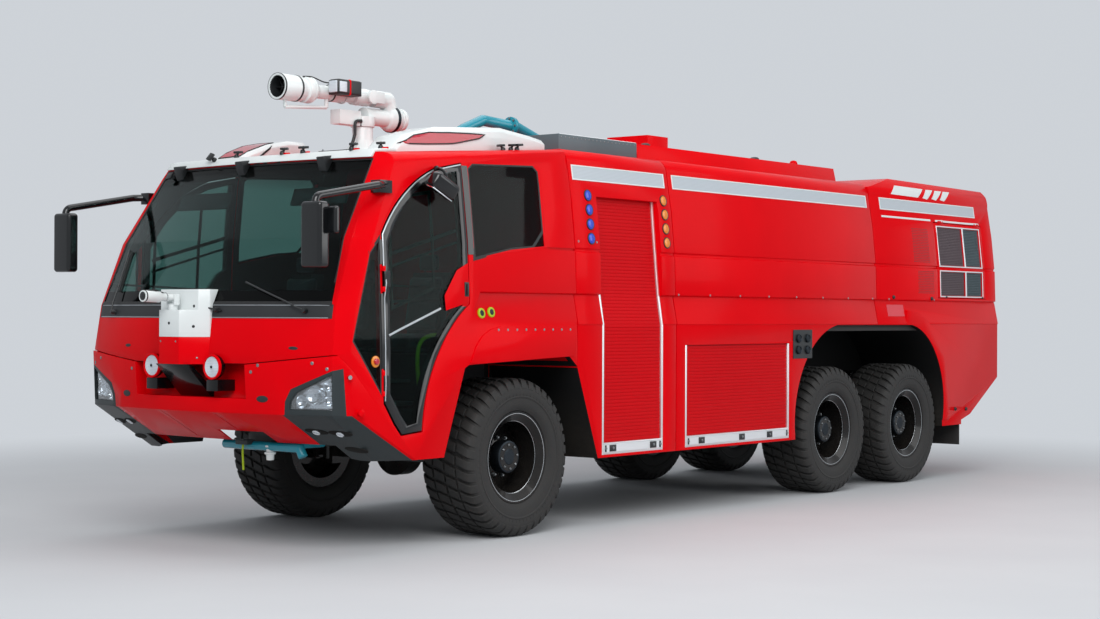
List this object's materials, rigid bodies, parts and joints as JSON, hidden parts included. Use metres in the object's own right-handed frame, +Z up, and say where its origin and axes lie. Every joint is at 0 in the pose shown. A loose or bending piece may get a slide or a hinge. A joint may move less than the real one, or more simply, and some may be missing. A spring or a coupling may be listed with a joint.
{
  "type": "six-wheel airport fire truck",
  "caption": "Airport crash tender with a glazed cab, roof and bumper water turrets, roller shutters, tank body and rear engine module on driven axles.",
  "frame": {"origin": "on the ground, under the middle of the overall length and width", "axes": "+X to the left side of the truck, -Y forward, +Z up"},
  "size_m": [3.38, 12.2484, 3.9368],
  "materials": {
    "paint_red": "gloss",
    "paint_anthracite": "satin",
    "paint_black": "satin",
    "paint_white": "gloss",
    "paint_teal": "gloss",
    "plastic_black": "matte",
    "glass_tinted": "gloss",
    "lamp_glass": "gloss",
    "aluminium_trim": "satin",
    "tyre_rubber": "matte",
    "fabric_dark": "matte"
  },
  "bodies": {
    "chassis": {"frame_rails": "paint_black", "front_axle": "paint_black", "rear_axles": "paint_black", "springs": "paint_anthracite", "propshafts": "paint_black", "engine": "paint_anthracite", "cab_shell": "paint_red", "bumper": "paint_red", "bumper_corners": "paint_anthracite", "cab_floor": "paint_black", "windscreen": "glass_tinted", "side_windows": "glass_tinted", "cowl": "plastic_black", "seats": "fabric_dark", "dashboard": "plastic_black", "mirrors": "plastic_black", "front_lamps": "lamp_glass", "pump_module": "paint_red", "tank_module": "paint_red", "engine_module": "paint_red", "roller_shutters": "paint_red", "shutter_rails": "aluminium_trim", "tank_top": "paint_red", "roof_well": "paint_anthracite", "pipes": "paint_teal", "fairings": "paint_white", "roof_turret_base": "paint_white", "turret_bracket": "paint_red", "turret_housing": "paint_white", "turret_struts": "paint_anthracite", "rear_ladder": "aluminium_trim", "arch_liners": "plastic_black", "marker_lamps": "lamp_glass"},
    "knuckle_left": {"knuckle_left": "paint_black"},
    "wheel_front_left": {"tyre_front_left": "tyre_rubber", "rim_front_left": "paint_black"},
    "wheel_middle_left": {"tyre_middle_left": "tyre_rubber", "rim_middle_left": "paint_black"},
    "wheel_rear_left": {"tyre_rear_left": "tyre_rubber", "rim_rear_left": "paint_black"},
    "door_left": {"door_left": "plastic_black", "door_glass_left": "glass_tinted"},
    "engine_flap_left": {"engine_flap_left": "paint_red"},
    "knuckle_right": {"knuckle_right": "paint_black"},
    "wheel_front_right": {"tyre_front_right": "tyre_rubber", "rim_front_right": "paint_black"},
    "wheel_middle_right": {"tyre_middle_right": "tyre_rubber", "rim_middle_right": "paint_black"},
    "wheel_rear_right": {"tyre_rear_right": "tyre_rubber", "rim_rear_right": "paint_black"},
    "door_right": {"door_right": "plastic_black", "door_glass_right": "glass_tinted"},
    "engine_flap_right": {"engine_flap_right": "paint_red"},
    "rear_hatch": {"rear_hatch": "paint_red"},
    "tank_lid": {"tank_lid": "paint_red"},
    "roof_turret": {"roof_turret_swivel": "paint_white"},
    "roof_barrel": {"roof_turret_barrel": "paint_white"},
    "bumper_turret": {"bumper_turret_head": "paint_white"},
    "bumper_barrel": {"bumper_turret_barrel": "paint_white"}
  },
  "joints": [
    {"name": "steer_left", "type": "hinge", "parent": "chassis", "child": "knuckle_left", "pos_m": [0.85, -3.2235, 0.68], "axis": [0, 0, 1], "range_deg": [-30, 30]},
    {"name": "wheel_front_left_roll", "type": "hinge", "parent": "knuckle_left", "child": "wheel_front_left", "pos_m": [1.18, -3.2235, 0.68], "axis": [1, 0, 0], "continuous": true},
    {"name": "wheel_middle_left_roll", "type": "hinge", "parent": "chassis", "child": "wheel_middle_left", "pos_m": [1.18, 2.1285, 0.68], "axis": [1, 0, 0], "continuous": true},
    {"name": "wheel_rear_left_roll", "type": "hinge", "parent": "chassis", "child": "wheel_rear_left", "pos_m": [1.18, 3.8205, 0.68], "axis": [1, 0, 0], "continuous": true},
    {"name": "door_left_hinge", "type": "hinge", "parent": "chassis", "child": "door_left", "pos_m": [1.502, -4.9565, 2], "axis": [0, 0, -1], "range_deg": [0, 75]},
    {"name": "engine_flap_left_hinge", "type": "hinge", "parent": "chassis", "child": "engine_flap_left", "pos_m": [1.42, 5.1065, 3.016], "axis": [0, -1, 0], "range_deg": [0, 85]},
    {"name": "steer_right", "type": "hinge", "parent": "chassis", "child": "knuckle_right", "pos_m": [-0.85, -3.2235, 0.68], "axis": [0, 0, 1], "range_deg": [-30, 30]},
    {"name": "wheel_front_right_roll", "type": "hinge", "parent": "knuckle_right", "child": "wheel_front_right", "pos_m": [-1.18, -3.2235, 0.68], "axis": [1, 0, 0], "continuous": true},
    {"name": "wheel_middle_right_roll", "type": "hinge", "parent": "chassis", "child": "wheel_middle_right", "pos_m": [-1.18, 2.1285, 0.68], "axis": [1, 0, 0], "continuous": true},
    {"name": "wheel_rear_right_roll", "type": "hinge", "parent": "chassis", "child": "wheel_rear_right", "pos_m": [-1.18, 3.8205, 0.68], "axis": [1, 0, 0], "continuous": true},
    {"name": "door_right_hinge", "type": "hinge", "parent": "chassis", "child": "door_right", "pos_m": [-1.502, -4.9565, 2], "axis": [0, 0, 1], "range_deg": [0, 75]},
    {"name": "engine_flap_right_hinge", "type": "hinge", "parent": "chassis", "child": "engine_flap_right", "pos_m": [-1.42, 5.1065, 3.016], "axis": [0, 1, 0], "range_deg": [0, 85]},
    {"name": "rear_hatch_hinge", "type": "hinge", "parent": "chassis", "child": "rear_hatch", "pos_m": [0, 6.0265, 2.416], "axis": [1, 0, 0], "range_deg": [0, 80]},
    {"name": "tank_lid_hinge", "type": "hinge", "parent": "chassis", "child": "tank_lid", "pos_m": [-0.34, 1.5315, 3.58], "axis": [0, -1, 0], "range_deg": [0, 85]},
    {"name": "roof_turret_yaw", "type": "hinge", "parent": "chassis", "child": "roof_turret", "pos_m": [0, -3.6735, 3.6], "axis": [0, 0, 1], "range_deg": [-90, 90]},
    {"name": "roof_turret_pitch", "type": "hinge", "parent": "roof_turret", "child": "roof_barrel", "pos_m": [0, -3.6435, 3.825], "axis": [-1, 0, 0], "range_deg": [-5, 70]},
    {"name": "bumper_turret_yaw", "type": "hinge", "parent": "chassis", "child": "bumper_turret", "pos_m": [0, -5.8185, 1.96], "axis": [0, 0, 1], "range_deg": [-60, 60]},
    {"name": "bumper_turret_pitch", "type": "hinge", "parent": "bumper_turret", "child": "bumper_barrel", "pos_m": [0, -5.8185, 2.03], "axis": [-1, 0, 0], "range_deg": [-10, 30]}
  ],
  "couplings": [
    {"joint": "steer_right", "follows": "steer_left", "ratio": 1}
  ]
}
